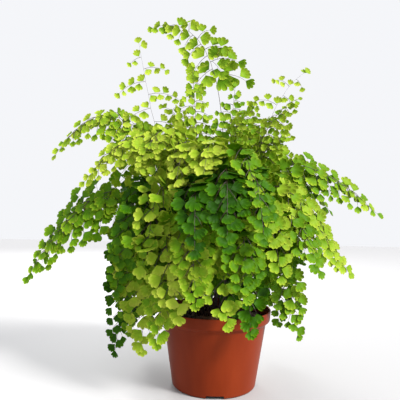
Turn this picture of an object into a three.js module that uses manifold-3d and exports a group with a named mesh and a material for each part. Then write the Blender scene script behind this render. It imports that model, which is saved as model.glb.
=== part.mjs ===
// A potted maidenhair fern: a round plastic nursery pot, the potting soil in it, the short creeping
// rhizome that lies on the soil, and the fronds that grow from the rhizome. Every frond is one grown
// piece: a wiry stipe, its rachis and the leaf blades along both sides of it.
//
// Millimetres, +Z up, +X right, the front of the plant towards -Y.
// The origin is the middle of the pot's underside.

import * as THREE from "three";
import { mergeVertices } from "three/addons/utils/BufferGeometryUtils.js";
import Module from "manifold-3d";

const wasm = await Module();
wasm.setup();

const CLEARANCE = 0.3; // gap kept between neighbouring pieces

// Pot
const POT_HEIGHT = 80;
const POT_RIM_RADIUS = 60;
const POT_FOOT_RADIUS = 44.5;
const POT_WALL_TAPER = 0.155; // growth of the radius for each millimetre of height
const POT_WALL = 1.2;
const POT_FLOOR = 1.5;
const RIM_BAND_HEIGHT = 10.5;
const RIM_STEP_HEIGHT = 3.5; // the slope from the wall out to the rim band
const FOOT_ROUND = 3;
const POT_SEGMENTS = 40;
const NOTCH_COUNT = 4; // drainage notches around the foot
const NOTCH_WIDTH = 18;
const NOTCH_HEIGHT = 3.4;
const NOTCH_INNER_RADIUS = 36;

// Soil and rhizome
const SOIL_TOP = 71.5; // height at the middle
const SOIL_EDGE_DROP = 2; // the surface falls a little towards the wall
const SOIL_SEGMENTS = 32;
const RHIZOME_RADIUS = 26;
const RHIZOME_HEIGHT = 6;
const RHIZOME_SEGMENTS = 20;

// Fronds
const STIPE_RADIUS = 0.9;
const STIPE_STEPS = 12; // straight stretches along a frond
const STIPE_RING = 4; // distance from the axis where an upright, tall frond starts
const STIPE_SPREAD = 0.16; // how much further out a leaning frond starts
const STIPE_TIER = 0.05; // and a low one, which is older
const TALL_SHOULDER = 250;
const BLADE_THICKNESS = 0.6;
const BLADE_ROOT = 0.2; // half width where a blade meets its rachis
const BLADE_DROOP = 0.35; // how far a blade hangs, for each millimetre of its length
const BLADE_FORWARD = 0.5; // how far a blade leans towards the frond's tip
const BLADE_WIDTH = 0.3; // half width for each millimetre of length
const BLADE_TILTS = [0, 18, -18, 36, -36, 60, -60]; // turns tried, in degrees, until a blade is clear
const BLADE_SIZES = [1, 0.7, 0.45]; // lengths tried

// name, shoulder (the point halfway along), tip, bare part of the length, longest blade, turn, age
// A frond's turn is the angle its blades are rolled round its rachis; its age goes from 0 to 1.
const FRONDS = [
  ["frond_top", [-3, 20, 337], [-80, 40, 408], 0.7, 34, -75, 0.2],
  ["frond_top_left", [-20, -2, 225], [-30, -5, 342], 0.5, 38, -80, 0.25],
  ["frond_top_right", [11, -2, 215], [18, 0, 322], 0.5, 44, 80, 0.35],
  ["frond_young_left", [-60, 5, 235], [-92, 10, 374], 0.7, 56, -80, 0.1],
  ["frond_young_right", [49, 15, 262], [103, 30, 352], 0.66, 50, 75, 0.1],
  ["frond_arm_left_high", [-95, 10, 275], [-180, 5, 245], 0.48, 48, -60, 0.25],
  ["frond_arm_left_bright", [-55, -20, 250], [-137, -30, 212], 0.45, 48, -55, 0.15],
  ["frond_arm_left_long", [-100, 0, 204], [-203, 0, 110], 0.42, 56, -62, 0.45],
  ["frond_arm_right_long", [60, 0, 229], [175, 0, 186], 0.42, 52, 60, 0.35],
  ["frond_right_middle", [55, -10, 195], [139, -15, 123], 0.4, 55, 50, 0.15],
  ["frond_right_low", [36, -28, 170], [83, -30, 62], 0.4, 44, 70, 0.5],
  ["frond_right_rim", [24, -42, 135], [30, -75, 76], 0.4, 34, 30, 0.8],
  ["frond_left_low_dark", [-70, -10, 172], [-104, -14, 37], 0.45, 36, -70, 0.9],
  ["frond_left_low_bright", [-55, -35, 160], [-72, -48, 50], 0.45, 46, -50, 0.2],
  ["frond_front_left", [-48, -56, 160], [-35, -90, 92], 0.45, 44, 0, 0.12],
  ["frond_front_left_high", [-50, -40, 205], [-68, -65, 130], 0.45, 42, -25, 0.3],
  ["frond_front_centre", [-2, -60, 170], [8, -85, 86], 0.45, 46, 0, 0.3],
  ["frond_front_middle", [-25, -62, 180], [-20, -100, 105], 0.45, 42, 0, 0.4],
  ["frond_front_right", [32, -45, 200], [58, -70, 125], 0.42, 46, 25, 0.3],
  ["frond_front_right_low", [18, -62, 165], [25, -90, 110], 0.42, 40, 0, 0.6],
  ["frond_centre_high_right", [24, 8, 220], [42, 10, 310], 0.55, 46, 70, 0.25],
  ["frond_right_high", [40, -8, 225], [75, -10, 265], 0.48, 44, 60, 0.3],
  ["frond_bright_left", [-25, -30, 245], [-42, -65, 205], 0.5, 44, -10, 0.1],
  ["frond_bright_middle", [-4, -35, 244], [-16, -75, 213], 0.5, 44, 0, 0.1],
  ["frond_bright_outer", [-38, -15, 255], [-78, -45, 232], 0.5, 42, -35, 0.15],
  ["frond_deep_centre", [5, -58, 220], [5, -110, 155], 0.45, 44, 0, 0.9],
  ["frond_deep_right", [25, -48, 225], [38, -95, 160], 0.45, 44, 0, 0.72],
  ["frond_deep_left", [-20, -55, 210], [-22, -110, 150], 0.45, 44, 0, 0.95],
  ["frond_back_high_left", [-35, 45, 240], [-85, 100, 225], 0.48, 44, 0, 0.4],
  ["frond_back_high", [0, 50, 250], [-10, 115, 250], 0.48, 44, 0, 0.3],
  ["frond_back_high_right", [35, 40, 235], [85, 95, 225], 0.48, 44, 0, 0.35],
  ["frond_back_left", [-60, 55, 195], [-115, 110, 130], 0.45, 44, 0, 0.55],
  ["frond_back_middle_left", [-25, 70, 200], [-45, 150, 140], 0.45, 46, 0, 0.45],
  ["frond_back_middle", [10, 75, 205], [15, 165, 150], 0.45, 46, 0, 0.6],
  ["frond_back_middle_right", [35, 60, 195], [70, 135, 130], 0.45, 46, 0, 0.4],
  ["frond_back_right", [55, 45, 190], [115, 90, 125], 0.45, 42, 0, 0.55],
  ["frond_back_low_left", [-50, 60, 150], [-80, 105, 50], 0.42, 40, 0, 0.85],
  ["frond_back_low", [-8, 80, 155], [-15, 130, 45], 0.42, 42, 0, 0.75],
  ["frond_back_low_right", [40, 65, 150], [65, 105, 50], 0.42, 40, 0, 0.7],
  ["frond_back_inner_left", [-26, 50, 165], [-30, 85, 95], 0.42, 38, 0, 0.8],
  ["frond_back_inner_right", [20, 50, 165], [30, 85, 100], 0.42, 38, 0, 0.8],
  ["frond_side_left", [-65, 20, 165], [-100, 35, 85], 0.42, 38, 0, 0.8],
  ["frond_side_right", [60, 20, 165], [92, 35, 95], 0.42, 38, 0, 0.75],
  ["frond_side_right_front", [60, -35, 180], [95, -60, 130], 0.42, 42, 30, 0.5],
  ["frond_left_middle", [-70, -26, 190], [-98, -45, 105], 0.42, 42, -45, 0.7],
  ["frond_left_shoulder", [-68, -12, 212], [-92, -35, 150], 0.45, 42, -45, 0.75],
  ["frond_front_left_low", [-36, -52, 150], [-54, -82, 66], 0.42, 38, -15, 0.35],
  ["frond_right_middle_front", [50, -24, 208], [118, -42, 138], 0.45, 44, 50, 0.2],
  ["frond_right_shoulder", [56, 14, 222], [130, 25, 190], 0.48, 42, 55, 0.4],
  ["frond_middle_high", [14, -14, 238], [28, -22, 290], 0.5, 46, 70, 0.25],
  ["frond_left_high_small", [-30, 8, 245], [-62, 14, 302], 0.5, 48, -75, 0.15],
  ["frond_front_bright_right", [14, -40, 238], [32, -85, 195], 0.48, 42, 0, 0.5],
  ["frond_back_inner_low", [2, 42, 135], [6, 78, 84], 0.3, 42, 0, 0.9],
  ["frond_high_right_outer", [40, 4, 240], [88, 4, 312], 0.5, 44, 55, 0.2],
  ["frond_left_low_middle", [-66, -48, 163], [-88, -30, 62], 0.42, 36, -60, 0.5],
  ["frond_right_low_inner", [42, -43, 158], [66, -22, 72], 0.42, 34, 65, 0.6],
];

const radians = THREE.MathUtils.degToRad;

// ---- Solids ----

// A closed three.js geometry as a manifold solid: shared corners are merged, and the triangles that
// collapse where a turned profile meets the axis are dropped.
function solidFrom(geometry) {
  const bare = geometry.clone();
  bare.deleteAttribute("normal");
  bare.deleteAttribute("uv");
  const welded = mergeVertices(bare, 1e-4);
  const corners = welded.index.array;
  const kept = [];
  for (let i = 0; i < corners.length; i += 3) {
    const [a, b, c] = [corners[i], corners[i + 1], corners[i + 2]];
    if (a !== b && b !== c && c !== a) kept.push(a, b, c);
  }
  return new wasm.Manifold(
    new wasm.Mesh({
      numProp: 3,
      vertProperties: new Float32Array(welded.attributes.position.array),
      triVerts: new Uint32Array(kept),
    }),
  );
}

function geometryFrom(solid) {
  const mesh = solid.getMesh();
  const geometry = new THREE.BufferGeometry();
  geometry.setAttribute("position", new THREE.BufferAttribute(mesh.vertProperties, 3));
  geometry.setIndex(new THREE.BufferAttribute(mesh.triVerts, 1));
  geometry.computeVertexNormals();
  return geometry;
}

// A profile of [radius, height] points turned round the vertical axis.
function turned(profile, segments) {
  const points = profile.map(([radius, height]) => new THREE.Vector2(radius, height));
  return solidFrom(new THREE.LatheGeometry(points, segments).rotateX(Math.PI / 2));
}

function piece(name, solid, color, roughness) {
  const material = new THREE.MeshStandardMaterial({ color, roughness, metalness: 0 });
  const mesh = new THREE.Mesh(geometryFrom(solid), material);
  mesh.name = name;
  return mesh;
}

// ---- Pot ----

function wallRadius(height) {
  return POT_FOOT_RADIUS + POT_WALL_TAPER * height;
}

function makePot() {
  const bandFoot = POT_HEIGHT - RIM_BAND_HEIGHT;
  const wallTop = bandFoot - RIM_STEP_HEIGHT;
  const inner = (height) => wallRadius(height) - POT_WALL;
  const profile = [
    [0, 0],
    [POT_FOOT_RADIUS - FOOT_ROUND, 0],
    [POT_FOOT_RADIUS - 0.3 * FOOT_ROUND, 0.3 * FOOT_ROUND],
    [wallRadius(FOOT_ROUND), FOOT_ROUND],
    [wallRadius(wallTop), wallTop],
    [POT_RIM_RADIUS - 1, bandFoot],
    [POT_RIM_RADIUS, POT_HEIGHT - 0.6],
    [POT_RIM_RADIUS - 0.5, POT_HEIGHT],
    [POT_RIM_RADIUS - 0.5 - POT_WALL, POT_HEIGHT],
    [POT_RIM_RADIUS - 1 - POT_WALL, bandFoot],
    [inner(wallTop), wallTop],
    [inner(POT_FLOOR + 2), POT_FLOOR + 2],
    [inner(POT_FLOOR) - 2, POT_FLOOR],
    [0, POT_FLOOR],
  ];
  let pot = turned(profile, POT_SEGMENTS);
  const reach = POT_RIM_RADIUS - NOTCH_INNER_RADIUS;
  for (let i = 0; i < NOTCH_COUNT; i += 1) {
    const notch = new THREE.BoxGeometry(NOTCH_WIDTH, reach, 2 * NOTCH_HEIGHT);
    notch.translate(0, -NOTCH_INNER_RADIUS - reach / 2, 0);
    notch.rotateZ((i * 2 * Math.PI) / NOTCH_COUNT);
    pot = pot.subtract(solidFrom(notch));
  }
  return pot;
}

// ---- Soil and rhizome ----

function makeSoil() {
  const inner = (height) => wallRadius(height) - POT_WALL - CLEARANCE;
  const bottom = POT_FLOOR + CLEARANCE;
  const wallTop = POT_HEIGHT - RIM_BAND_HEIGHT - RIM_STEP_HEIGHT;
  const edgeTop = SOIL_TOP - SOIL_EDGE_DROP;
  const rimInner = POT_RIM_RADIUS - 1 - POT_WALL - CLEARANCE;
  return turned(
    [
      [0, bottom],
      [NOTCH_INNER_RADIUS - 1, bottom],
      [inner(NOTCH_HEIGHT + 1), NOTCH_HEIGHT + 1],
      [inner(wallTop) - CLEARANCE, wallTop],
      [rimInner - CLEARANCE, edgeTop],
      [RHIZOME_RADIUS, SOIL_TOP],
      [0, SOIL_TOP],
    ],
    SOIL_SEGMENTS,
  );
}

// Height of the rhizome's top at a distance from the axis.
function rhizomeTop(radius) {
  return SOIL_TOP + CLEARANCE + RHIZOME_HEIGHT * (1 - (radius / RHIZOME_RADIUS) ** 2);
}

function makeRhizome() {
  const profile = [[0, SOIL_TOP + CLEARANCE]];
  for (const share of [1, 0.85, 0.65, 0.4, 0]) {
    const radius = share * RHIZOME_RADIUS;
    profile.push([radius, share === 1 ? SOIL_TOP + CLEARANCE + 0.5 : rhizomeTop(radius)]);
  }
  profile.splice(1, 0, [RHIZOME_RADIUS, SOIL_TOP + CLEARANCE]);
  return turned(profile, RHIZOME_SEGMENTS);
}

// ---- Fronds ----

// The frond's rachis: it leaves the rhizome on the side it grows to, passes its shoulder halfway
// and ends at its tip.
function rachisOf(shoulder, tip) {
  const heading = Math.atan2(shoulder[1], shoulder[0]);
  const leaning = Math.hypot(shoulder[0], shoulder[1]);
  const radius = STIPE_RING + STIPE_SPREAD * leaning + STIPE_TIER * (TALL_SHOULDER - shoulder[2]);
  const foot = new THREE.Vector3(
    radius * Math.cos(heading),
    radius * Math.sin(heading),
    rhizomeTop(radius) + 2 * CLEARANCE + 0.5 * STIPE_RADIUS,
  );
  const end = new THREE.Vector3(...tip);
  const control = new THREE.Vector3(...shoulder).multiplyScalar(2);
  control.addScaledVector(foot, -0.5).addScaledVector(end, -0.5);
  return new THREE.QuadraticBezierCurve3(foot, control, end);
}

function stipeSolid(rachis) {
  const section = new THREE.Shape();
  for (let i = 0; i < 3; i += 1) {
    const angle = (i * 2 * Math.PI) / 3;
    const [x, y] = [STIPE_RADIUS * Math.cos(angle), STIPE_RADIUS * Math.sin(angle)];
    if (i === 0) section.moveTo(x, y);
    else section.lineTo(x, y);
  }
  return solidFrom(
    new THREE.ExtrudeGeometry(section, { steps: STIPE_STEPS, extrudePath: rachis, bevelEnabled: false }),
  );
}

// A flat kite-shaped blade of one length, lying along `along` from `root` with its face to `normal`.
// `grow` thickens it all round, for testing that its surroundings are clear.
function bladeSolid(root, along, normal, length, grow) {
  const half = BLADE_WIDTH * length + grow;
  const outline = new THREE.Shape();
  outline.moveTo(-0.5 * BLADE_ROOT, -BLADE_ROOT);
  outline.lineTo(0.5 * length, -half);
  outline.lineTo(length + grow, 0);
  outline.lineTo(0.5 * length, half);
  outline.lineTo(-0.5 * BLADE_ROOT, BLADE_ROOT);
  const depth = BLADE_THICKNESS + 2 * grow;
  const plate = new THREE.ExtrudeGeometry(outline, { depth, bevelEnabled: false });
  plate.translate(0, 0, -depth / 2);
  const across = new THREE.Vector3().crossVectors(normal, along).normalize();
  const frame = new THREE.Matrix4().makeBasis(along, across, normal).setPosition(root);
  return solidFrom(plate.applyMatrix4(frame));
}

function boxesMeet(a, b) {
  return [0, 1, 2].every((i) => a.min[i] <= b.max[i] && b.min[i] <= a.max[i]);
}

function isClear(solid, others) {
  const box = solid.boundingBox();
  return others.every((other) => !boxesMeet(box, other.box) || solid.intersect(other.solid).isEmpty());
}

// The blades of one frond, alternating left and right, longest near the start of the leafy part.
// Each is rolled round its own length, or made shorter, until it touches nothing else.
function addBlades(frond, placed) {
  const [, shoulder, tip, bare, reach, turn] = frond.spec;
  const heading = Math.atan2(tip[1] - 0.2 * shoulder[1], tip[0] - 0.2 * shoulder[0]);
  const level = new THREE.Vector3(Math.sin(heading), -Math.cos(heading), 0);
  const others = placed.filter((other) => other !== frond);
  const first = Math.round(bare * STIPE_STEPS);
  for (let step = first; step < STIPE_STEPS; step += 1) {
    const from = frond.rachis.getPointAt(step / STIPE_STEPS);
    const to = frond.rachis.getPointAt((step + 1) / STIPE_STEPS);
    const root = from.clone().lerp(to, 0.5);
    const along = to.sub(from).normalize();
    const side = level.clone().addScaledVector(along, -level.dot(along)).normalize();
    side.applyAxisAngle(along, radians(turn));
    if (step % 2 === 1) side.negate();
    const toTip = (step - first) / (STIPE_STEPS - first);
    const direction = side.addScaledVector(along, BLADE_FORWARD);
    direction.z -= BLADE_DROOP;
    direction.normalize();
    const normal = new THREE.Vector3().crossVectors(direction, along).normalize();
    const blade = firstClearBlade(root, direction, normal, reach * (1 - toTip) ** 0.75, others);
    if (blade) frond.solid = frond.solid.add(blade);
  }
  frond.box = frond.solid.boundingBox();
}

function firstClearBlade(root, direction, normal, length, others) {
  for (const size of BLADE_SIZES) {
    for (const tilt of BLADE_TILTS) {
      const face = normal.clone().applyAxisAngle(direction, radians(tilt));
      const tested = bladeSolid(root, direction, face, size * length, CLEARANCE);
      if (isClear(tested, others)) return bladeSolid(root, direction, face, size * length, 0);
    }
  }
  return null;
}

// ---- The plant in its pot ----

const group = new THREE.Group();
const YOUNG_GREEN = new THREE.Color(0x9cb82f);
const OLD_GREEN = new THREE.Color(0x2f5a10);

const holder = [makePot(), makeSoil(), makeRhizome()];
group.add(piece("pot", holder[0], 0x8a2e15, 0.45));
group.add(piece("potting_soil", holder[1], 0x1d120b, 0.95));
group.add(piece("rhizome", holder[2], 0x3a2415, 0.85));

const fronds = FRONDS.map((spec) => {
  const rachis = rachisOf(spec[1], spec[2]);
  const solid = stipeSolid(rachis);
  return { spec, rachis, solid, box: solid.boundingBox() };
});
const placed = [...holder.map((solid) => ({ solid, box: solid.boundingBox() })), ...fronds];
for (const frond of fronds) {
  addBlades(frond, placed);
  const color = YOUNG_GREEN.clone().lerp(OLD_GREEN, frond.spec[6]);
  group.add(piece(frond.spec[0], frond.solid, color, 0.6));
}

export default group;
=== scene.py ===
"""The looks of a potted maidenhair fern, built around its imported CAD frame.

Every object is in metres in the frame's own axes: +Z up, +X right, the front of the plant towards -Y.
Lengths in the tables and constants below are millimetres, and MM turns them into metres.
"""

import math

import bpy
import numpy as np
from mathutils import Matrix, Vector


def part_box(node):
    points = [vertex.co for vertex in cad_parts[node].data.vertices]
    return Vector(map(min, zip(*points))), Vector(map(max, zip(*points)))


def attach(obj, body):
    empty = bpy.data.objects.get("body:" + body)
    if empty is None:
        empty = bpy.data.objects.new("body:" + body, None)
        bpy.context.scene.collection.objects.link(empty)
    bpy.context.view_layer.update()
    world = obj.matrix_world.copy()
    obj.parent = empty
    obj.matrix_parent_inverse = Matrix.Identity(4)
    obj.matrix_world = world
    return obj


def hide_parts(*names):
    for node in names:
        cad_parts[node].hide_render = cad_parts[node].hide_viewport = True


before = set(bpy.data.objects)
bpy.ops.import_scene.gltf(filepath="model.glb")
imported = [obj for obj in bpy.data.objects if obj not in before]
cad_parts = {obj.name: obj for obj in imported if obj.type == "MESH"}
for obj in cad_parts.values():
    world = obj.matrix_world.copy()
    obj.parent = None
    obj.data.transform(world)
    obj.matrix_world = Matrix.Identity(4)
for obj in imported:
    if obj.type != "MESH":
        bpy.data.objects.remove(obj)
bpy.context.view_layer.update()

MM = 0.001
UP = np.array([0.0, 0.0, 1.0])

# ---- Driving dimensions, in millimetres ----

POT_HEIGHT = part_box("pot")[1][2] / MM
RIM_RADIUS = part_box("pot")[1][0] / MM
WALL_TAPER = 0.155  # growth of the wall's radius for each millimetre of height
FOOT_RADIUS = 44.5
EDGE_BEVEL = 0.4  # how far the foot and the lip are drawn in, before their corners are rounded
WALL = 1.2
FLOOR = 1.5
BAND_HEIGHT = 10.5  # the rim band
BAND_FLARE = 1  # how much wider the band is at its top than at its foot
STEP_HEIGHT = 3.5  # the slope from the wall out to the band
BAND_FOOT = POT_HEIGHT - BAND_HEIGHT
WALL_TOP = BAND_FOOT - STEP_HEIGHT
POT_SEGMENTS = 160
NOTCH_COUNT = 4  # drainage notches around the foot
NOTCH_WIDTH = 18
NOTCH_HEIGHT = 3.4
NOTCH_INNER_RADIUS = 36
NOTCH_ROUND = 1.2
NOTCH_CHAMFER = 0.4
CREASE_ANGLE = 32  # the pot's edges sharper than this stay crisp

CLEARANCE = 0.3
SOIL_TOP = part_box("potting_soil")[1][2] / MM
SOIL_EDGE_DROP = 2
SOIL_RINGS = 34
SOIL_SEGMENTS = 120
SOIL_WAVES = 26
SOIL_WAVE_HEIGHT = 0.16
SOIL_SETTLING = 0.5  # keeps the waves under the CAD's soil level
CRUMB_COUNT = 520
LARGE_CRUMB_SHARE = 0.06
RHIZOME_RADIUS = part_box("rhizome")[1][0] / MM
RHIZOME_HEIGHT = 6
RHIZOME_SUNK = 0.8
RHIZOME_RINGS = 26
RHIZOME_SEGMENTS = 96
RHIZOME_WAVES = 24
RHIZOME_WAVE_HEIGHT = 0.22
RHIZOME_SETTLING = 0.6

STIPE_RADIUS = 0.75
STIPE_RING = 4  # distance from the axis where an upright, tall frond starts
STIPE_SPREAD = 0.16  # how much further out a leaning frond starts
STIPE_TIER = 0.05  # and a low one, which is older
TALL_SHOULDER = 250

# name, shoulder (the point halfway along), tip, bare part of the length, longest branch, turn, age,
# leaflet length. All but the last are the CAD model's own values. The turn is the angle that the side
# branches are rolled round the rachis, in degrees, and the age goes from 0 to 1. The age also paints
# shade: it is set high for the deep, inner and back fronds, which lie in the plant's shadow, and lower
# for the brightly lit fronds.
FRONDS = [
    ("frond_top", (-3, 20, 337), (-80, 40, 408), 0.7, 34, -75, 0.2, 16.5),
    ("frond_top_left", (-20, -2, 225), (-30, -5, 342), 0.5, 38, -80, 0.25, 14),
    ("frond_top_right", (11, -2, 215), (18, 0, 322), 0.5, 44, 80, 0.35, 13),
    ("frond_young_left", (-60, 5, 235), (-92, 10, 374), 0.7, 56, -80, 0.1, 9.5),
    ("frond_young_right", (49, 15, 262), (103, 30, 352), 0.66, 50, 75, 0.1, 9),
    ("frond_arm_left_high", (-95, 10, 275), (-180, 5, 245), 0.48, 48, -60, 0.25, 15.5),
    ("frond_arm_left_bright", (-55, -20, 250), (-137, -30, 212), 0.45, 48, -55, 0.15, 15.5),
    ("frond_arm_left_long", (-100, 0, 204), (-203, 0, 110), 0.42, 56, -62, 0.45, 17),
    ("frond_arm_right_long", (60, 0, 229), (175, 0, 186), 0.42, 52, 60, 0.35, 17),
    ("frond_right_middle", (55, -10, 195), (139, -15, 123), 0.4, 55, 50, 0.15, 17),
    ("frond_right_low", (36, -28, 170), (83, -30, 62), 0.4, 44, 70, 0.5, 17),
    ("frond_right_rim", (24, -42, 135), (30, -75, 76), 0.4, 34, 30, 0.8, 17),
    # painted shade: this frond lies in shadow and is darkened through a high age
    ("frond_left_low_dark", (-70, -10, 172), (-104, -14, 37), 0.45, 36, -70, 0.9, 17),
    ("frond_left_low_bright", (-55, -35, 160), (-72, -48, 50), 0.45, 46, -50, 0.2, 18),
    ("frond_front_left", (-48, -56, 160), (-35, -90, 92), 0.45, 44, 0, 0.12, 18.5),
    ("frond_front_left_high", (-50, -40, 205), (-68, -65, 130), 0.45, 42, -25, 0.3, 17),
    ("frond_front_centre", (-2, -60, 170), (8, -85, 86), 0.45, 46, 0, 0.3, 18.5),
    ("frond_front_middle", (-25, -62, 180), (-20, -100, 105), 0.45, 42, 0, 0.4, 17),
    ("frond_front_right", (32, -45, 200), (58, -70, 125), 0.42, 46, 25, 0.3, 18.5),
    ("frond_front_right_low", (18, -62, 165), (25, -90, 110), 0.42, 40, 0, 0.6, 17),
    ("frond_centre_high_right", (24, 8, 220), (42, 10, 310), 0.55, 46, 70, 0.25, 12),
    ("frond_right_high", (40, -8, 225), (75, -10, 265), 0.48, 44, 60, 0.3, 12),
    ("frond_bright_left", (-25, -30, 245), (-42, -65, 205), 0.5, 44, -10, 0.1, 17),
    ("frond_bright_middle", (-4, -35, 244), (-16, -75, 213), 0.5, 44, 0, 0.1, 17),
    ("frond_bright_outer", (-38, -15, 255), (-78, -45, 232), 0.5, 42, -35, 0.15, 15.5),
    # painted shade: the deep fronds in the plant's shadowed middle are darkened through high ages
    ("frond_deep_centre", (5, -58, 220), (5, -110, 155), 0.45, 44, 0, 0.9, 18.5),
    ("frond_deep_right", (25, -48, 225), (38, -95, 160), 0.45, 44, 0, 0.72, 18.5),
    ("frond_deep_left", (-20, -55, 210), (-22, -110, 150), 0.45, 44, 0, 0.95, 18.5),
    ("frond_back_high_left", (-35, 45, 240), (-85, 100, 225), 0.48, 44, 0, 0.4, 17),
    ("frond_back_high", (0, 50, 250), (-10, 115, 250), 0.48, 44, 0, 0.3, 17),
    ("frond_back_high_right", (35, 40, 235), (85, 95, 225), 0.48, 44, 0, 0.35, 17),
    ("frond_back_left", (-60, 55, 195), (-115, 110, 130), 0.45, 44, 0, 0.55, 17),
    ("frond_back_middle_left", (-25, 70, 200), (-45, 150, 140), 0.45, 46, 0, 0.45, 17),
    ("frond_back_middle", (10, 75, 205), (15, 165, 150), 0.45, 46, 0, 0.6, 17),
    ("frond_back_middle_right", (35, 60, 195), (70, 135, 130), 0.45, 46, 0, 0.4, 17),
    ("frond_back_right", (55, 45, 190), (115, 90, 125), 0.45, 42, 0, 0.55, 17),
    ("frond_back_low_left", (-50, 60, 150), (-80, 105, 50), 0.42, 40, 0, 0.85, 17),
    ("frond_back_low", (-8, 80, 155), (-15, 130, 45), 0.42, 42, 0, 0.75, 17),
    ("frond_back_low_right", (40, 65, 150), (65, 105, 50), 0.42, 40, 0, 0.7, 17),
    ("frond_back_inner_left", (-26, 50, 165), (-30, 85, 95), 0.42, 38, 0, 0.8, 17),
    ("frond_back_inner_right", (20, 50, 165), (30, 85, 100), 0.42, 38, 0, 0.8, 17),
    ("frond_side_left", (-65, 20, 165), (-100, 35, 85), 0.42, 38, 0, 0.8, 17),
    ("frond_side_right", (60, 20, 165), (92, 35, 95), 0.42, 38, 0, 0.75, 17),
    ("frond_side_right_front", (60, -35, 180), (95, -60, 130), 0.42, 42, 30, 0.5, 17),
    ("frond_left_middle", (-70, -26, 190), (-98, -45, 105), 0.42, 42, -45, 0.7, 17),
    ("frond_left_shoulder", (-68, -12, 212), (-92, -35, 150), 0.45, 42, -45, 0.75, 17),
    ("frond_front_left_low", (-36, -52, 150), (-54, -82, 66), 0.42, 38, -15, 0.35, 17),
    ("frond_right_middle_front", (50, -24, 208), (118, -42, 138), 0.45, 44, 50, 0.2, 17),
    ("frond_right_shoulder", (56, 14, 222), (130, 25, 190), 0.48, 42, 55, 0.4, 15.5),
    ("frond_middle_high", (14, -14, 238), (28, -22, 290), 0.5, 46, 70, 0.25, 12.5),
    ("frond_left_high_small", (-30, 8, 245), (-62, 14, 302), 0.5, 48, -75, 0.15, 12),
    ("frond_front_bright_right", (14, -40, 238), (32, -85, 195), 0.48, 42, 0, 0.5, 17),
    ("frond_back_inner_low", (2, 42, 135), (6, 78, 84), 0.3, 42, 0, 0.9, 17),
    ("frond_high_right_outer", (40, 4, 240), (88, 4, 312), 0.5, 44, 55, 0.2, 12),
    ("frond_left_low_middle", (-66, -48, 163), (-88, -30, 62), 0.42, 36, -60, 0.5, 15),
    ("frond_right_low_inner", (42, -43, 158), (66, -22, 72), 0.42, 34, 65, 0.6, 15),
]


# ---- Camera, lights and floor ----

CAMERA_LENS = 37.8
CAMERA_SENSOR = 36
CAMERA_PLACE = (-18 * MM, -461 * MM, 172 * MM)
CAMERA_PITCH = 93  # degrees up from looking straight down
CAMERA_ROLL = -1.2
KEY_TOWARDS = (1.35, -0.95, 1.3)
KEY_SPREAD = 16
KEY_STRENGTH = 5.8
KEY_COLOR = (1.0, 0.98, 0.94)
BACK_PLACE = (-0.4, 1.4, 1.2)
BACK_SIZE = 0.9
BACK_WATTS = 22
BACK_COLOR = (1.0, 0.99, 0.96)
PLANT_MIDDLE = (0, 0, 0.2)
SKY_COLOR = (0.96, 0.97, 1.0, 1)
SKY_STRENGTH = 0.95
FLOOR_REACH = 3.0  # metres to each side
FLOOR_COLOR = (0.41, 0.41, 0.42, 1)
FLOOR_ROUGHNESS = 0.55


def aim(obj, target):
    """Turns a light so that it shines on the target."""
    direction = np.array(target) - np.array(obj.location)
    flat = math.hypot(direction[0], direction[1])
    obj.rotation_euler = (math.atan2(direction[2], flat) + math.pi / 2, 0,
                          math.atan2(direction[1], direction[0]) - math.pi / 2)


def add_camera():
    data = bpy.data.cameras.new("camera")
    data.lens = CAMERA_LENS
    data.sensor_width = CAMERA_SENSOR
    camera = bpy.data.objects.new("camera", data)
    camera.location = CAMERA_PLACE
    camera.rotation_euler = (math.radians(CAMERA_PITCH), math.radians(CAMERA_ROLL), 0)
    bpy.context.collection.objects.link(camera)
    bpy.context.scene.camera = camera


def add_area_light(name, location, size, watts, color):
    data = bpy.data.lights.new(name, "AREA")
    data.shape = "DISK"
    data.size = size
    data.energy = watts
    data.color = color
    light = bpy.data.objects.new(name, data)
    light.location = location
    aim(light, PLANT_MIDDLE)
    bpy.context.collection.objects.link(light)


def add_sun(name, towards, spread, strength, color):
    data = bpy.data.lights.new(name, "SUN")
    data.angle = math.radians(spread)
    data.energy = strength
    data.color = color
    light = bpy.data.objects.new(name, data)
    light.location = towards
    aim(light, (0, 0, 0))
    bpy.context.collection.objects.link(light)


def add_lights():
    add_sun("key_light", KEY_TOWARDS, KEY_SPREAD, KEY_STRENGTH, KEY_COLOR)
    add_area_light("back_light", BACK_PLACE, BACK_SIZE, BACK_WATTS, BACK_COLOR)
    world = bpy.data.worlds.new("studio")
    world.use_nodes = True
    background = world.node_tree.nodes["Background"]
    background.inputs["Color"].default_value = SKY_COLOR
    background.inputs["Strength"].default_value = SKY_STRENGTH
    bpy.context.scene.world = world
    bpy.context.scene.view_settings.view_transform = "Standard"


def add_floor():
    near, far = -FLOOR_REACH, FLOOR_REACH
    corners = [(near, near, 0), (far, near, 0), (far, far, 0), (near, far, 0)]
    mesh = bpy.data.meshes.new("floor")
    mesh.from_pydata(corners, [], [(0, 1, 2, 3)])
    floor = bpy.data.objects.new("floor", mesh)
    bpy.context.collection.objects.link(floor)
    material, shader, _, _ = new_material("floor_white")
    shader.inputs["Base Color"].default_value = FLOOR_COLOR
    shader.inputs["Roughness"].default_value = FLOOR_ROUGHNESS
    mesh.materials.append(material)


# ---- Material helpers ----

def new_material(name):
    """A new material with its shader, its nodes and its links."""
    material = bpy.data.materials.new(name)
    material.use_nodes = True
    nodes = material.node_tree.nodes
    return material, nodes["Principled BSDF"], nodes, material.node_tree.links


def add_noise(nodes, links, vector, scale, detail=4.0):
    noise = nodes.new("ShaderNodeTexNoise")
    noise.inputs["Scale"].default_value = scale
    noise.inputs["Detail"].default_value = detail
    links.new(vector, noise.inputs["Vector"])
    return noise.outputs["Fac"]


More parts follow.
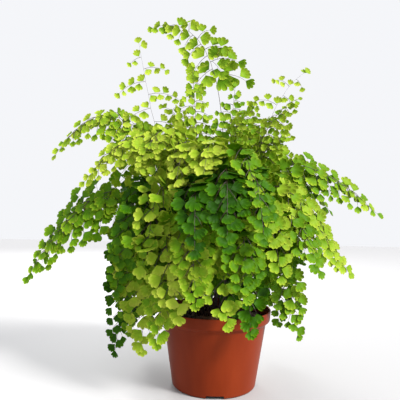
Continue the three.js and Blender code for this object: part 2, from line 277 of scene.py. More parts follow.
def add_ramp(nodes, links, value, stops):
    """The colour that a value picks from (position, colour) stops."""
    ramp = nodes.new("ShaderNodeValToRGB")
    elements = ramp.color_ramp.elements
    while len(elements) < len(stops):
        elements.new(0.5)
    for element, (position, color) in zip(elements, stops):
        element.position = position
        element.color = (*color, 1)
    links.new(value, ramp.inputs["Fac"])
    return ramp.outputs["Color"]


def add_bump(nodes, links, height, shader, strength, distance):
    bump = nodes.new("ShaderNodeBump")
    bump.inputs["Strength"].default_value = strength
    bump.inputs["Distance"].default_value = distance
    links.new(height, bump.inputs["Height"])
    links.new(bump.outputs["Normal"], shader.inputs["Normal"])
    return bump.outputs["Normal"]


def add_math(nodes, links, operation, first, second):
    """One sum on two values, each a number or another node's output."""
    node = nodes.new("ShaderNodeMath")
    node.operation = operation
    for socket, value in zip(node.inputs, (first, second)):
        if isinstance(value, (int, float)):
            socket.default_value = value
        else:
            links.new(value, socket)
    return node.outputs["Value"]


# ---- Materials ----

LEAF_COLORS = [  # from the youngest, brightly lit leaflets and the painted glow of the margins to the oldest leaflets and the painted shade of the deep fronds
    (0.0, (0.56, 0.66, 0.075)),
    (0.22, (0.36, 0.52, 0.028)),
    (0.45, (0.155, 0.335, 0.006)),
    (0.75, (0.05, 0.175, 0.001)),
    (1.0, (0.018, 0.08, 0.001)),
]
MOTTLE_SIZE = 260.0
MOTTLE_DEPTH = 0.16
VEIN_COUNT = 13
VEIN_DEPTH = 0.018
# The leaflet margins get a painted glow, standing for light through the thin edge, and the rest of the
# blade painted shade.
MARGIN_SHARPNESS = 5
PAINTED_MARGIN_GLOW = 0.30
PAINTED_BLADE_SHADE = 0.08  # painted shade over the blade away from its margins; it also keeps a leaflet's mean colour with the painted margin glow
LIGHT_THROUGH = 0.42  # share of the light that goes through a leaflet
GLOW_COLOR = (1.0, 1.0, 0.6, 1)


def leaf_material():
    """Fan leaflets: colour by the leaflet's tint, fine forked veins, a painted glow at the margins and
    painted shade over the rest of the blade, light let through from behind.
    """
    material, shader, nodes, links = new_material("fern_leaflet")
    tint = nodes.new("ShaderNodeAttribute")
    tint.attribute_name = "tint"
    uv = nodes.new("ShaderNodeUVMap")
    uv.uv_map = "blade"
    split = nodes.new("ShaderNodeSeparateXYZ")
    links.new(uv.outputs["UV"], split.inputs["Vector"])
    coords = nodes.new("ShaderNodeTexCoord")
    mottle = add_noise(nodes, links, coords.outputs["Object"], MOTTLE_SIZE, 3.0)
    veins = add_math(nodes, links, "MULTIPLY", split.outputs["X"], 2 * math.pi * VEIN_COUNT)
    veins = add_math(nodes, links, "SINE", veins, 0)
    shade = add_math(nodes, links, "MULTIPLY", mottle, MOTTLE_DEPTH)
    shade = add_math(nodes, links, "ADD", tint.outputs["Fac"], shade)
    faint = add_math(nodes, links, "MULTIPLY", veins, VEIN_DEPTH)
    shade = add_math(nodes, links, "ADD", shade, faint)
    # Painted glow at the leaflet's margin, painted shade over the rest of the blade.
    edge = add_math(nodes, links, "POWER", split.outputs["Y"], MARGIN_SHARPNESS)
    edge = add_math(nodes, links, "MULTIPLY", edge, PAINTED_MARGIN_GLOW)
    edge = add_math(nodes, links, "SUBTRACT", edge, PAINTED_BLADE_SHADE)
    shade = add_math(nodes, links, "SUBTRACT", shade, edge)
    color = add_ramp(nodes, links, shade, LEAF_COLORS)
    links.new(color, shader.inputs["Base Color"])
    shader.inputs["Roughness"].default_value = 0.48
    shader.inputs["Specular IOR Level"].default_value = 0.12
    normal = add_bump(nodes, links, veins, shader, 0.25, 0.0002)
    through = nodes.new("ShaderNodeBsdfTranslucent")
    glow = nodes.new("ShaderNodeMix")
    glow.data_type = "RGBA"
    glow.blend_type = "MULTIPLY"
    glow.inputs["Factor"].default_value = 1.0
    links.new(color, glow.inputs["A"])
    glow.inputs["B"].default_value = GLOW_COLOR
    links.new(glow.outputs["Result"], through.inputs["Color"])
    links.new(normal, through.inputs["Normal"])
    mix = nodes.new("ShaderNodeMixShader")
    mix.inputs["Fac"].default_value = LIGHT_THROUGH
    links.new(shader.outputs["BSDF"], mix.inputs[1])
    links.new(through.outputs["BSDF"], mix.inputs[2])
    links.new(mix.outputs["Shader"], nodes["Material Output"].inputs["Surface"])
    return material


def stipe_material():
    """Wiry black-brown stems, glossy, a little redder where the light catches their grain."""
    material, shader, nodes, links = new_material("fern_stipe")
    coords = nodes.new("ShaderNodeTexCoord")
    grain = add_noise(nodes, links, coords.outputs["Object"], 420.0, 3.0)
    color = add_ramp(nodes, links, grain, [
        (0.3, (0.010, 0.005, 0.004)),
        (0.7, (0.045, 0.018, 0.010)),
    ])
    links.new(color, shader.inputs["Base Color"])
    shader.inputs["Roughness"].default_value = 0.42
    add_bump(nodes, links, grain, shader, 0.15, 0.0002)
    return material


def pot_material():
    """Moulded terracotta-brown plastic: satin, with faint flow marks that run down the wall."""
    material, shader, nodes, links = new_material("pot_plastic")
    coords = nodes.new("ShaderNodeTexCoord")
    stretch = nodes.new("ShaderNodeMapping")
    stretch.inputs["Scale"].default_value = (1.0, 1.0, 0.18)
    links.new(coords.outputs["Object"], stretch.inputs["Vector"])
    flow = add_noise(nodes, links, stretch.outputs["Vector"], 60.0, 4.0)
    fine = add_noise(nodes, links, coords.outputs["Object"], 900.0, 2.0)
    color = add_ramp(nodes, links, flow, [
        (0.25, (0.155, 0.017, 0.002)),
        (0.75, (0.205, 0.026, 0.004)),
    ])
    links.new(color, shader.inputs["Base Color"])
    rough = add_math(nodes, links, "MULTIPLY", flow, 0.16)
    rough = add_math(nodes, links, "ADD", rough, 0.34)
    links.new(rough, shader.inputs["Roughness"])
    shader.inputs["Specular IOR Level"].default_value = 0.12
    add_bump(nodes, links, fine, shader, 0.12, 0.0002)
    return material


def soil_material():
    """Moist peat mix: near black, with browner crumbs."""
    material, shader, nodes, links = new_material("potting_soil")
    coords = nodes.new("ShaderNodeTexCoord")
    crumbs = add_noise(nodes, links, coords.outputs["Object"], 350.0, 6.0)
    color = add_ramp(nodes, links, crumbs, [
        (0.3, (0.008, 0.005, 0.003)),
        (0.55, (0.028, 0.016, 0.009)),
        (0.8, (0.075, 0.045, 0.025)),
    ])
    links.new(color, shader.inputs["Base Color"])
    shader.inputs["Roughness"].default_value = 0.92
    add_bump(nodes, links, crumbs, shader, 0.8, 0.001)
    return material


def rhizome_material():
    """The crown's papery brown scales."""
    material, shader, nodes, links = new_material("rhizome_scales")
    coords = nodes.new("ShaderNodeTexCoord")
    scales = add_noise(nodes, links, coords.outputs["Object"], 240.0, 5.0)
    color = add_ramp(nodes, links, scales, [
        (0.3, (0.020, 0.010, 0.005)),
        (0.7, (0.13, 0.062, 0.026)),
    ])
    links.new(color, shader.inputs["Base Color"])
    shader.inputs["Roughness"].default_value = 0.8
    add_bump(nodes, links, scales, shader, 0.7, 0.001)
    return material


# ---- Mesh helpers ----

def unit(vectors):
    """The vectors scaled to a length of one."""
    vectors = np.asarray(vectors, float)
    return vectors / np.linalg.norm(vectors, axis=-1, keepdims=True)


def mesh_object(name, points, faces, material):
    """A mesh object from points in millimetres and faces given as index lists."""
    mesh = bpy.data.meshes.new(name)
    mesh.from_pydata((np.asarray(points) * MM).tolist(), [], [list(map(int, face)) for face in faces])
    mesh.materials.append(material)
    obj = bpy.data.objects.new(name, mesh)
    bpy.context.collection.objects.link(obj)
    return obj


def smooth_by_angle(obj, degrees):
    """Smooth shading that keeps every edge sharper than the given angle crisp."""
    mesh = obj.data
    mesh.shade_smooth()
    mesh.set_sharp_from_angle(angle=math.radians(degrees))


def turned(profile, segments):
    """Points and faces of a closed [radius, height] profile turned round Z. Ends on the axis close it."""
    angles = np.arange(segments) * 2 * math.pi / segments
    points = []
    rows = []
    for radius, height in profile:
        if radius < 1e-6:
            rows.append([len(points)])
            points.append((0, 0, height))
        else:
            rows.append(list(range(len(points), len(points) + segments)))
            points.extend((radius * math.cos(a), radius * math.sin(a), height) for a in angles)
    faces = []
    for low, high in zip(rows, rows[1:]):
        for i in range(segments):
            j = (i + 1) % segments
            if len(low) == 1:
                faces.append((low[0], high[j], high[i]))
            elif len(high) == 1:
                faces.append((low[i], low[j], high[0]))
            else:
                faces.append((low[i], low[j], high[j], high[i]))
    return points, faces


def rounded(profile, corner, radius, steps):
    """The profile with one corner replaced by a curve."""
    point = np.array(profile[corner], float)
    before = point + unit(np.array(profile[corner - 1]) - point) * radius
    after = point + unit(np.array(profile[corner + 1]) - point) * radius
    shares = np.linspace(0, 1, steps + 1)[:, None]
    curve = (1 - shares) ** 2 * before + 2 * shares * (1 - shares) * point + shares ** 2 * after
    return profile[:corner] + [tuple(row) for row in curve] + profile[corner + 1:]


class Tubes:
    """Collects tapering stems as closed tubes in one mesh."""

    def __init__(self):
        self.points = []
        self.faces = []

    def add(self, path, radii, sides):
        path = np.asarray(path, float)
        tangents = unit(np.gradient(path, axis=0))
        across = np.cross(tangents[0], UP)
        if np.linalg.norm(across) < 0.1:
            across = np.cross(tangents[0], (1.0, 0, 0))
        across = unit(across)
        angles = np.arange(sides) * 2 * math.pi / sides
        first = len(self.points)
        for point, tangent, radius in zip(path, tangents, radii):
            across = unit(across - tangent * np.dot(across, tangent))
            other = np.cross(tangent, across)
            for a in angles:
                self.points.append(point + radius * (math.cos(a) * across + math.sin(a) * other))
        for row in range(len(path) - 1):
            low = first + row * sides
            for i in range(sides):
                j = (i + 1) % sides
                self.faces.append((low + i, low + j, low + sides + j, low + sides + i))
        self.faces.append(tuple(range(first + sides - 1, first - 1, -1)))
        last = first + (len(path) - 1) * sides
        self.faces.append(tuple(range(last, last + sides)))


# ---- Pot ----

def wall_radius(height):
    """The outer radius of the pot's wall at a height."""
    return FOOT_RADIUS + WALL_TAPER * height


# corner of the pot's profile, radius of its rounding, steps. The last corner comes first, because
# rounding a corner adds points after it.
POT_ROUNDINGS = [
    (8, 1.5, 3),
    (7, 1.5, 3),
    (6, 1.0, 3),
    (5, 0.5, 3),
    (4, 0.6, 4),
    (3, 1.2, 4),
    (2, 1.4, 4),
    (1, 2.6, 6),
]


def make_pot(material):
    """The moulded shell: floor, tapered wall, slope and rim band, with notches in the foot."""
    profile = [
        (0, 0),
        (FOOT_RADIUS - EDGE_BEVEL, 0),
        (wall_radius(WALL_TOP), WALL_TOP),
        (RIM_RADIUS - BAND_FLARE, BAND_FOOT),
        (RIM_RADIUS, POT_HEIGHT),
        (RIM_RADIUS - WALL - EDGE_BEVEL, POT_HEIGHT),
        (RIM_RADIUS - BAND_FLARE - WALL, BAND_FOOT),
        (wall_radius(WALL_TOP) - WALL, WALL_TOP),
        (wall_radius(FLOOR) - WALL, FLOOR),
        (0, FLOOR),
    ]
    for corner, radius, steps in POT_ROUNDINGS:
        profile = rounded(profile, corner, radius, steps)
    points, faces = turned(profile, POT_SEGMENTS)
    pot = mesh_object("pot_shell", points, faces, material)
    cut_notches(pot)
    smooth_by_angle(pot, CREASE_ANGLE)
    return pot


def cut_notches(pot):
    """Cuts the drainage notches out of the corner between the pot's floor and its wall."""
    half = NOTCH_WIDTH / 2
    outline = [
        (-half, -NOTCH_HEIGHT),
        (half, -NOTCH_HEIGHT),
        (half, NOTCH_HEIGHT - NOTCH_ROUND),
        (half - NOTCH_CHAMFER, NOTCH_HEIGHT - NOTCH_CHAMFER),
        (half - NOTCH_ROUND, NOTCH_HEIGHT),
        (-half + NOTCH_ROUND, NOTCH_HEIGHT),
        (-half + NOTCH_CHAMFER, NOTCH_HEIGHT - NOTCH_CHAMFER),
        (-half, NOTCH_HEIGHT - NOTCH_ROUND),
    ]
    count = len(outline)
    points = []
    faces = []
    for k in range(NOTCH_COUNT):
        angle = k * 2 * math.pi / NOTCH_COUNT
        turn = np.array([[math.cos(angle), -math.sin(angle)], [math.sin(angle), math.cos(angle)]])
        first = len(points)
        for y in (-NOTCH_INNER_RADIUS, -RIM_RADIUS):
            for x, z in outline:
                flat = turn @ np.array([x, y])
                points.append((flat[0], flat[1], z))
        faces.append(tuple(range(first + count - 1, first - 1, -1)))
        faces.append(tuple(range(first + count, first + 2 * count)))
        for i in range(count):
            j = (i + 1) % count
            faces.append((first + i, first + j, first + count + j, first + count + i))
    cutter = mesh_object("notch_cutter", points, faces, pot.data.materials[0])
    modifier = pot.modifiers.new("notches", "BOOLEAN")
    modifier.operation = "DIFFERENCE"
    modifier.solver = "EXACT"
    modifier.object = cutter
    graph = bpy.context.evaluated_depsgraph_get()
    cut = bpy.data.meshes.new_from_object(pot.evaluated_get(graph))
    pot.modifiers.clear()
    pot.data = cut
    bpy.data.objects.remove(cutter)


# ---- Soil and rhizome ----

def soil_level(radius, edge):
    """The soil's height: flat in the middle, falling a little towards the wall."""
    fall = max(0.0, (radius - RHIZOME_RADIUS) / (edge - RHIZOME_RADIUS))
    return SOIL_TOP - SOIL_EDGE_DROP * fall


def ripples(points, rng, count, shortest, longest):
    """The sum of some waves that cross the points in random directions."""
    total = np.zeros(len(points))
    for _ in range(count):
        direction = rng.normal(size=2)
        direction *= rng.uniform(shortest, longest) / np.linalg.norm(direction)
        phase = rng.uniform(0, 6.3)
        total += np.sin(points[:, 0] * direction[0] + points[:, 1] * direction[1] + phase)
    return total


def make_soil(material):
    """The soil's body with an uneven top, closed down to the pot's floor."""
    rng = np.random.default_rng(5)
    edge = RIM_RADIUS - BAND_FLARE - WALL - 2 * CLEARANCE
    side_foot = 8
    profile = [
        (0, FLOOR + CLEARANCE),
        (wall_radius(FLOOR) - WALL - 3, FLOOR + CLEARANCE),
        (wall_radius(side_foot) - WALL - CLEARANCE, side_foot),
        (wall_radius(WALL_TOP) - WALL - 2 * CLEARANCE, WALL_TOP),
        (edge, SOIL_TOP - SOIL_EDGE_DROP),
    ]
    for k in range(1, SOIL_RINGS):
        radius = edge * (1 - k / SOIL_RINGS)
        profile.append((radius, soil_level(radius, edge)))
    profile.append((0, SOIL_TOP))
    points, faces = turned(profile, SOIL_SEGMENTS)
    points = np.array(points)
    radius = np.hypot(points[:, 0], points[:, 1])
    top = (points[:, 2] > SOIL_TOP - SOIL_EDGE_DROP - 0.01) & (radius < edge - 0.5)
    waves = ripples(points, rng, SOIL_WAVES, 0.25, 1.6)
    points[top, 2] += SOIL_WAVE_HEIGHT * waves[top] - SOIL_SETTLING
    soil = mesh_object("soil_body", points, faces, material)
    soil.data.shade_smooth()
    return soil


def make_crumbs(material):
    """Loose crumbs of peat and bark lying on the soil."""
    rng = np.random.default_rng(11)
    base_points, base_faces = crumb_shape()
    points = []
    faces = []
    edge = RIM_RADIUS - 5
    for _ in range(CRUMB_COUNT):
        size = rng.uniform(0.6, 2.0) * (2.0 if rng.random() < LARGE_CRUMB_SHARE else 1.0)
        radius = edge * math.sqrt(rng.uniform(0.12, 1.0)) - size
        angle = rng.uniform(0, 2 * math.pi)
        height = soil_level(radius, edge) - 0.2
        centre = (radius * math.cos(angle), radius * math.sin(angle), height)
        stretch = np.array([rng.uniform(0.7, 1.5), rng.uniform(0.7, 1.2), rng.uniform(0.4, 0.8)])
        spin = rotation_about(UP, rng.uniform(0, 2 * math.pi))
        jitter = 1 + rng.uniform(-0.2, 0.2, (len(base_points), 1))
        crumb = (base_points * jitter * stretch * size) @ spin.T + centre
        faces.extend(tuple(i + len(points) for i in face) for face in base_faces)
        points.extend(crumb)
    return mesh_object("soil_crumbs", points, faces, material)


def crumb_shape():
    """An icosahedron's corners and faces."""
    ratio = (1 + math.sqrt(5)) / 2
    corners = []
    for a, b in ((-1, ratio), (1, ratio), (-1, -ratio), (1, -ratio)):
        corners.append((a, b, 0))
    for a, b in ((-1, ratio), (1, ratio), (-1, -ratio), (1, -ratio)):
        corners.append((0, a, b))
    for a, b in ((ratio, -1), (ratio, 1), (-ratio, -1), (-ratio, 1)):
        corners.append((a, 0, b))
    faces = [(0, 11, 5), (0, 5, 1), (0, 1, 7), (0, 7, 10), (0, 10, 11), (1, 5, 9), (5, 11, 4),
             (11, 10, 2), (10, 7, 6), (7, 1, 8), (3, 9, 4), (3, 4, 2), (3, 2, 6), (3, 6, 8), (3, 8, 9),
             (4, 9, 5), (2, 4, 11), (6, 2, 10), (8, 6, 7), (9, 8, 1)]
    return np.array(corners) / math.hypot(1, ratio), faces


def rotation_about(axis, angle):
    """The matrix that turns a vector round an axis."""
    x, y, z = unit(axis)
    c, s = math.cos(angle), math.sin(angle)
    k = 1 - c
    return np.array([
        [c + x * x * k, x * y * k - z * s, x * z * k + y * s],
        [y * x * k + z * s, c + y * y * k, y * z * k - x * s],
        [z * x * k - y * s, z * y * k + x * s, c + z * z * k],
    ])


def rhizome_top(radius):
    """The crown's height at a distance from the pot's axis."""
    return SOIL_TOP + CLEARANCE + RHIZOME_HEIGHT * (1 - (radius / RHIZOME_RADIUS) ** 2)


def make_rhizome(material):
    """The knobbly crown on the soil."""
    rng = np.random.default_rng(7)
    underside = SOIL_TOP - RHIZOME_SUNK
    profile = [(0, underside), (RHIZOME_RADIUS * 0.98, underside)]
    for k in range(RHIZOME_RINGS):
        radius = RHIZOME_RADIUS * (1 - k / RHIZOME_RINGS)
        profile.append((radius, rhizome_top(radius)))
    profile.append((0, rhizome_top(0)))
    points, faces = turned(profile, RHIZOME_SEGMENTS)
    points = np.array(points)
    high = points[:, 2] > SOIL_TOP
    waves = ripples(points, rng, RHIZOME_WAVES, 0.3, 1.3)
    points[high, 2] += RHIZOME_WAVE_HEIGHT * waves[high] - RHIZOME_SETTLING
    rhizome = mesh_object("rhizome_crown", points, faces, material)
    rhizome.data.shade_smooth()
    return rhizome


# ---- Leaflets ----

LEAF_SPOKES = 24  # stretches along a leaflet's outer edge
LEAF_TEMPLATES = 12
LEAF_THICKNESS = 0.22
LEAF_RING = 0.52  # where the ring of points between base and edge lies
LOBE_DEPTH = 0.16


def leaf_outline(rng):
    """Angles and radii of a fan leaflet's outer edge: rounded lobes with shallow notches between."""
    lobes = rng.integers(3, 6)
    half = math.radians(rng.uniform(48, 60))
    lean = math.radians(rng.uniform(-8, 8))
    share = np.linspace(0, 1, LEAF_SPOKES + 1)
    angles = (2 * share - 1) * half + lean
    lobe = np.abs(np.sin(share * lobes * math.pi)) ** 0.5
    sideways = np.abs(2 * share - 1)
    radii = (1 - 0.18 * sideways ** 2 - 0.10 * sideways ** 8) * (1 - LOBE_DEPTH + LOBE_DEPTH * lobe)
    radii *= 1 + 0.012 * rng.normal(size=LEAF_SPOKES + 1)
    return share, angles, radii


def leaf_template(rng):
    """One leaflet of unit length: its base at the origin, growing along +Y, its face to +Z."""
    share, angles, radii = leaf_outline(rng)
    outer = np.stack([np.sin(angles) * radii, np.cos(angles) * radii], 1)
    inner = outer[::2] * LEAF_RING
    flat = np.vstack([[(0, 0)], inner, outer])
    along = np.concatenate([[0], np.full(len(inner), LEAF_RING), np.ones(len(outer))])
    across = np.concatenate([[0.5], share[::2], share])
    fold = rng.uniform(-0.16, 0.08)
    curl = rng.uniform(-0.16, 0.05)
    wave = rng.uniform(0.01, 0.03)
    phase = rng.uniform(0, 6.3)
    height = (fold * np.abs(flat[:, 0]) ** 1.5 + curl * flat[:, 1] ** 2
              + wave * np.sin(3 * across * math.pi + phase) * along ** 2)
    points = np.column_stack([flat, height])
    return points, np.column_stack([across, along])


def leaf_faces():
    """Triangles of one side, and the edge triangles that join the two sides."""
    half = LEAF_SPOKES // 2
    inner = 1
    outer = inner + half + 1
    side = []
    for i in range(half):
        side.append((0, inner + i + 1, inner + i))
        side.append((inner + i, outer + 2 * i + 1, outer + 2 * i))
        side.append((inner + i, inner + i + 1, outer + 2 * i + 1))
        side.append((inner + i + 1, outer + 2 * i + 2, outer + 2 * i + 1))
    count = outer + LEAF_SPOKES + 1
    loop = [0, inner] + list(range(outer, outer + LEAF_SPOKES + 1)) + [inner + half]
    back = [(c + count, b + count, a + count) for a, b, c in side]
    edge = []
    for a, b in zip(loop, loop[1:] + loop[:1]):
        edge.append((b, a, a + count))
        edge.append((b, a + count, b + count))
    return np.array(side + back), np.array(edge), count


def leaf_library():
    """Points and UV places of every leaflet template."""
    rng = np.random.default_rng(3)
    templates = [leaf_template(rng) for _ in range(LEAF_TEMPLATES)]
    return np.array([points for points, _ in templates]), np.array([uvs for _, uvs in templates])


LEAF_SHAPES, LEAF_UVS = leaf_library()
LEAF_SIDES, LEAF_EDGES, LEAF_COUNT = leaf_faces()


def leaflets_object(name, leaflets, material):
    """One mesh of thin closed leaflets. Each leaflet is (base, along, face, length, tint, template)."""
    base, along, face = (np.array([leaf[i] for leaf in leaflets]) for i in range(3))
    length, tint = (np.array([leaf[i] for leaf in leaflets]) for i in (3, 4))
    template = np.array([leaf[5] for leaf in leaflets])
    across = unit(np.cross(along, face))
    face = np.cross(across, along)
    shape = LEAF_SHAPES[template] * length[:, None, None]
    half = np.array([0, 0, LEAF_THICKNESS / 2])
    both = np.concatenate([shape + half, shape - half], axis=1)
    axes = np.stack([across, along, face], axis=1)
    points = np.einsum("nvi,nij->nvj", both, axes) + base[:, None, :]
    per_leaf = 2 * LEAF_COUNT
    offsets = (np.arange(len(leaflets)) * per_leaf)[:, None, None]
    faces = np.concatenate([LEAF_SIDES[None] + offsets, LEAF_EDGES[None] + offsets], axis=1)
    smooth = np.tile(np.arange(faces.shape[1]) < len(LEAF_SIDES), len(leaflets))
    faces = faces.reshape(-1, 3)
    mesh = bpy.data.meshes.new(name)
    mesh.vertices.add(len(leaflets) * per_leaf)
    mesh.vertices.foreach_set("co", (points.reshape(-1) * MM).astype(np.float32))
    mesh.loops.add(faces.size)
    mesh.loops.foreach_set("vertex_index", faces.reshape(-1).astype(np.int32))
    mesh.polygons.add(len(faces))
    mesh.polygons.foreach_set("loop_start", np.arange(0, faces.size, 3, dtype=np.int32))
    mesh.update(calc_edges=True)
    mesh.polygons.foreach_set("use_smooth", smooth)
    uvs = np.concatenate([LEAF_UVS[template]] * 2, axis=1).reshape(-1, 2)
    layer = mesh.uv_layers.new(name="blade")
    layer.data.foreach_set("uv", uvs[faces.reshape(-1)].reshape(-1).astype(np.float32))
    attribute = mesh.attributes.new("tint", "FLOAT", "POINT")
    attribute.data.foreach_set("value", np.repeat(tint, per_leaf).astype(np.float32))
    mesh.materials.append(material)
    mesh.validate()
    obj = bpy.data.objects.new(name, mesh)
    bpy.context.collection.objects.link(obj)
    return obj


# ---- Fronds ----

PATH_POINTS = 90
RACHIS_SIDES = 7
RACHIS_TAPER = 0.82  # share of the stipe's radius that is gone at the tip
YOUNG_STIPE = 0.55  # a young frond's share of the usual stipe radius
FOOT_FLARE = 0.6  # how much thicker the stipe is where it leaves the crown
KINK = 0.5  # how far the rachis zigzags towards each side branch
BRANCH_FORWARD = 0.6  # how far a branch leans towards the frond's tip
BRANCH_SPACING = 0.56  # in leaflet lengths, as are the spacings below
BRANCH_RADII = (0.34, 0.16)
BRANCH_STEPS = 6
BRANCH_SIDES = 5
LEAF_SPACING = 0.38
LEAF_DROOP = 0.1
LEAF_LIFT = 0.12
TWIG_RADII = (0.2, 0.13)
TWIG_STEPS = 3
TWIG_SIDES = 4
STALK_RADII = (0.13, 0.11, 0.11)
STALK_SIDES = 3
POT_MARGIN = 7  # room that leaflets leave round the pot below its rim
RIM_MARGIN = 1.5
YOUNG_LEAF = 10  # a frond with smaller leaflets than this is a fine young one
YOUNG_BRANCH_SPACING = 1.7
YOUNG_LEAF_SPACING = 0.5
FROND_SEED = 100
BRANCH_SCATTER = 0.10  # random part of a branch's direction
LEAF_SCATTER = 0.10  # and of a leaflet's direction
FACE_SCATTER = 0.14  # and of the way its face looks
BACK_START = 20  # leaflets behind this are at the back
LIGHT_TURN = 0.25  # how far leaflets turn up, outwards and, except at the back, to the front
AGE_AND_SHADE_TINT = 0.92  # how much of a leaflet's tint comes from its frond's age and painted shade
BRANCH_TINT = 0.05
LEAF_TINT = 0.04
TIP_TINT = 0.08


def rachis_path(shoulder, tip, count):
    """Evenly spaced points of the frond's curve, as in the CAD model, from the rhizome to the tip."""
    shoulder, tip = np.array(shoulder, float), np.array(tip, float)
    leaning = math.hypot(shoulder[0], shoulder[1])
    heading = math.atan2(shoulder[1], shoulder[0])
    radius = STIPE_RING + STIPE_SPREAD * leaning + STIPE_TIER * (TALL_SHOULDER - shoulder[2])
    foot = np.array([radius * math.cos(heading), radius * math.sin(heading), rhizome_top(radius)])
    control = 2 * shoulder - 0.5 * (foot + tip)
    share = np.linspace(0, 1, 400)[:, None]
    curve = (1 - share) ** 2 * foot + 2 * share * (1 - share) * control + share ** 2 * tip
    return evenly(curve, count)


def evenly(curve, count):
    """Points at equal distances along a curve."""
    lengths = np.concatenate([[0], np.cumsum(np.linalg.norm(np.diff(curve, axis=0), axis=1))])
    wanted = np.linspace(0, lengths[-1], count)
    return np.column_stack([np.interp(wanted, lengths, curve[:, i]) for i in range(3)])


def point_on(path, share):
    """The point at a share of a path's length, and the number of the path's point before it."""
    place = share * (len(path) - 1)
    low = min(int(place), len(path) - 2)
    return path[low] + (path[low + 1] - path[low]) * (place - low), low


def drooping_path(root, direction, length, droop, steps):
    """A branch that leaves its root in one direction and bends down under its own weight."""
    points = [root]
    heading = unit(direction)
    for _ in range(steps):
        points.append(points[-1] + heading * length / steps)
        heading = unit(heading - UP * droop / steps)
    return np.array(points)


def is_clear_of_pot(leaf_base, along, length):
    """True where a leaflet stays off the pot's wall, its rim and the soil."""
    for share in (0.0, 0.5, 1.0):
        x, y, z = leaf_base + along * length * share
        radius = math.hypot(x, y)
        if z < POT_HEIGHT + RIM_MARGIN and radius < wall_radius(z) + POT_MARGIN:
            return False
    return True


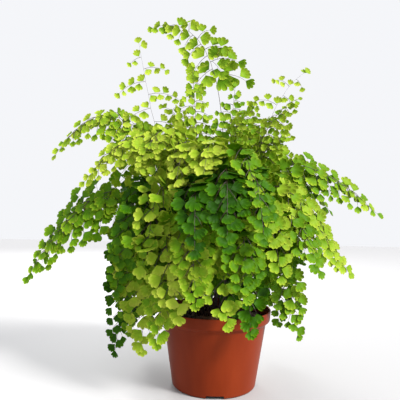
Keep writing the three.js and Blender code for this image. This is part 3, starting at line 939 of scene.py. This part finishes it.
class Frond:
    """Grows one frond's stems and leaflets."""

    def __init__(self, row, number):
        self.name, shoulder, tip, self.bare, self.reach, turn, self.age, self.leaf = row
        self.rng = np.random.default_rng(FROND_SEED + number)
        self.tubes = Tubes()
        self.leaflets = []
        self.branch_tint = 0.0
        self.path = rachis_path(shoulder, tip, PATH_POINTS)
        self.tangents = unit(np.gradient(self.path, axis=0))
        self.length = np.linalg.norm(np.diff(self.path, axis=0), axis=1).sum()
        heading = math.atan2(tip[1] - 0.2 * shoulder[1], tip[0] - 0.2 * shoulder[0])
        self.level = np.array([math.sin(heading), -math.cos(heading), 0.0])
        self.turn = math.radians(turn)
        self.young = self.leaf < YOUNG_LEAF

    def at(self, share):
        """Point, direction and sideways axis of the rachis at a share of its length."""
        point, low = point_on(self.path, share)
        tangent = self.tangents[low]
        side = unit(self.level - tangent * np.dot(self.level, tangent))
        return point, tangent, rotation_about(tangent, self.turn) @ side

    def grow(self):
        """Side branches left and right in turn, then the rachis and the leaflet at its end."""
        spacing = YOUNG_BRANCH_SPACING if self.young else BRANCH_SPACING
        leafy = (1 - self.bare) * self.length
        kinks = []
        to_tip = 0.0
        hand = 1
        while to_tip < 0.985:
            share = self.bare + (1 - self.bare) * to_tip
            point, tangent, side = self.at(share)
            kink = side * hand * KINK * (1 - to_tip)
            kinks.append((share, kink))
            length = self.reach * (1 - to_tip) ** 0.8 * self.rng.uniform(0.8, 1.1)
            self.grow_branch(point + kink, tangent, side * hand, length, to_tip)
            to_tip += spacing * self.leaf_at(to_tip) / leafy
            hand = -hand
        self.grow_rachis(kinks)
        point, tangent, side = self.at(1.0)
        face = self.outward(np.cross(side, tangent), point)
        self.add_leaflet(point, tangent, face, self.leaf_at(1.0), 1.0)

    def leaf_at(self, to_tip):
        """The usual leaflet length at a share of the leafy part: leaflets shrink towards the tip."""
        return self.leaf * (1 - (0.2 if self.young else 0.5) * to_tip ** 1.4)

    def outward(self, face, point):
        """The face's direction with the sign that looks up and away from the plant's middle."""
        away = np.array([point[0], point[1], 60.0])
        return face if np.dot(face, away) > 0 else -face

    def grow_rachis(self, kinks):
        """The stipe and rachis, kinked a little at each side branch."""
        path = self.path.copy()
        shares = np.linspace(0, 1, len(path))
        marks = [0, self.bare * 0.95] + [share for share, _ in kinks] + [1]
        zero = np.zeros(3)
        moves = np.array([zero, zero] + [kink for _, kink in kinks] + [zero])
        for i in range(3):
            path[:, i] += np.interp(shares, marks, moves[:, i])
        thick = STIPE_RADIUS * (YOUNG_STIPE if self.young else 1.0)
        radii = thick * (1 - RACHIS_TAPER * shares ** 0.8) + FOOT_FLARE * np.exp(-shares * 60)
        self.tubes.add(path, radii, RACHIS_SIDES)

    def grow_branch(self, root, tangent, side, length, to_tip):
        """A side branch with alternate leaflets and one at its end."""
        level = math.sqrt(1 - tangent[2] ** 2)
        upright = max(0.0, tangent[2])
        droop = 0.1 + 0.5 * level + 0.45 * upright
        direction = side + tangent * (BRANCH_FORWARD + 0.3 * to_tip) - UP * droop
        direction = unit(direction + BRANCH_SCATTER * self.rng.normal(size=3))
        face = self.outward(unit(np.cross(side, tangent)), root)
        leaf = self.leaf_at(to_tip) * self.rng.uniform(0.9, 1.1)
        self.branch_tint = BRANCH_TINT * self.rng.normal()
        if length < 0.9 * leaf:
            self.add_leaflet(root, direction, face, leaf, to_tip)
            return
        sag = 0.3 + level + 0.4 * upright
        path = drooping_path(root, direction, length, sag, BRANCH_STEPS)
        radii = np.linspace(*BRANCH_RADII, len(path)) * (0.7 if self.young else 1)
        self.tubes.add(path, radii, BRANCH_SIDES)
        spacing = (YOUNG_LEAF_SPACING if self.young else LEAF_SPACING) * leaf
        count = max(1, int((length - 0.35 * leaf) / spacing))
        for k in range(count):
            share = (k + 0.35) / (count + 0.3)
            point, low = point_on(path, share)
            along = unit(path[low + 1] - path[low])
            across = unit(np.cross(along, face)) * (1 if k % 2 else -1)
            size = leaf * (1 - 0.3 * share)
            outward = unit(across + (0.35 + 0.5 * share) * along)
            if k < 2 and length > 2.2 * leaf and to_tip < 0.5 and not self.young:
                self.grow_twig(point, outward, face, size)
            else:
                self.add_leaflet(point, outward, face, size, to_tip)
        end = unit(path[-1] - path[-2])
        self.add_leaflet(path[-1], end, face, leaf * 0.72, to_tip)

    def grow_twig(self, root, direction, face, leaf):
        """A short second-order branch with a leaflet on each side and one at its end."""
        path = drooping_path(root, direction, 1.1 * leaf, 0.3, TWIG_STEPS)
        self.tubes.add(path, np.linspace(*TWIG_RADII, len(path)), TWIG_SIDES)
        across = unit(np.cross(direction, face))
        for hand, point in ((1, path[1]), (-1, path[2])):
            self.add_leaflet(point, unit(hand * across + 0.5 * direction), face, leaf * 0.85, 0.2)
        self.add_leaflet(path[-1], unit(path[-1] - path[-2]), face, leaf * 0.9, 0.2)

    def add_leaflet(self, root, along, face, length, to_tip):
        """A leaflet on its hair-thin stalk, hanging a little and turned towards the light."""
        rng = self.rng
        scatter = LEAF_SCATTER * rng.normal(size=3)
        along = unit(along + scatter - LEAF_DROOP * UP + LEAF_LIFT * face)
        away = unit(np.array([root[0], root[1], 1.0])) * [1, 1, 0]
        forward = np.array([0, -1, 0]) * (root[1] < BACK_START)
        face = unit(face + LIGHT_TURN * (UP + away + forward) + FACE_SCATTER * rng.normal(size=3))
        face = unit(face - along * np.dot(face, along))
        length = length * rng.uniform(0.88, 1.1)
        stalk = 0.12 * length + 0.3
        base = root + along * stalk
        if not is_clear_of_pot(base, along, length):
            return
        stalk_path = np.array([root, root + along * stalk * 0.5, base + along * 0.3])
        self.tubes.add(stalk_path, STALK_RADII, STALK_SIDES)
        # The tint adds the frond's age and painted shade, a random tone for each branch and leaflet, and
        # is lighter towards the frond's tip.
        tint = AGE_AND_SHADE_TINT * self.age + self.branch_tint + LEAF_TINT * rng.normal() - TIP_TINT * to_tip
        tint = np.clip(tint, 0.0, 1.0)
        self.leaflets.append((base, along, face, length, tint, rng.integers(LEAF_TEMPLATES)))


def make_frond(row, number, leaf, stipe):
    """One frond's stems and leaflets, which stand for its CAD piece."""
    frond = Frond(row, number)
    frond.grow()
    stems = mesh_object(frond.name + "_stems", frond.tubes.points, frond.tubes.faces, stipe)
    stems.data.shade_smooth()
    leaves = leaflets_object(frond.name + "_leaflets", frond.leaflets, leaf)
    for piece in (stems, leaves):
        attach(piece, "root")
        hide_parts(frond.name)


# ---- The whole object ----

add_camera()
add_lights()
add_floor()

pot = make_pot(pot_material())
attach(pot, "root")
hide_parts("pot")

soil_look = soil_material()
for piece in (make_soil(soil_look), make_crumbs(soil_look)):
    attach(piece, "root")
    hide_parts("potting_soil")

rhizome = make_rhizome(rhizome_material())
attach(rhizome, "root")
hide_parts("rhizome")

leaf_look = leaf_material()
stipe_look = stipe_material()
for number, row in enumerate(FRONDS):
    make_frond(row, number, leaf_look, stipe_look)
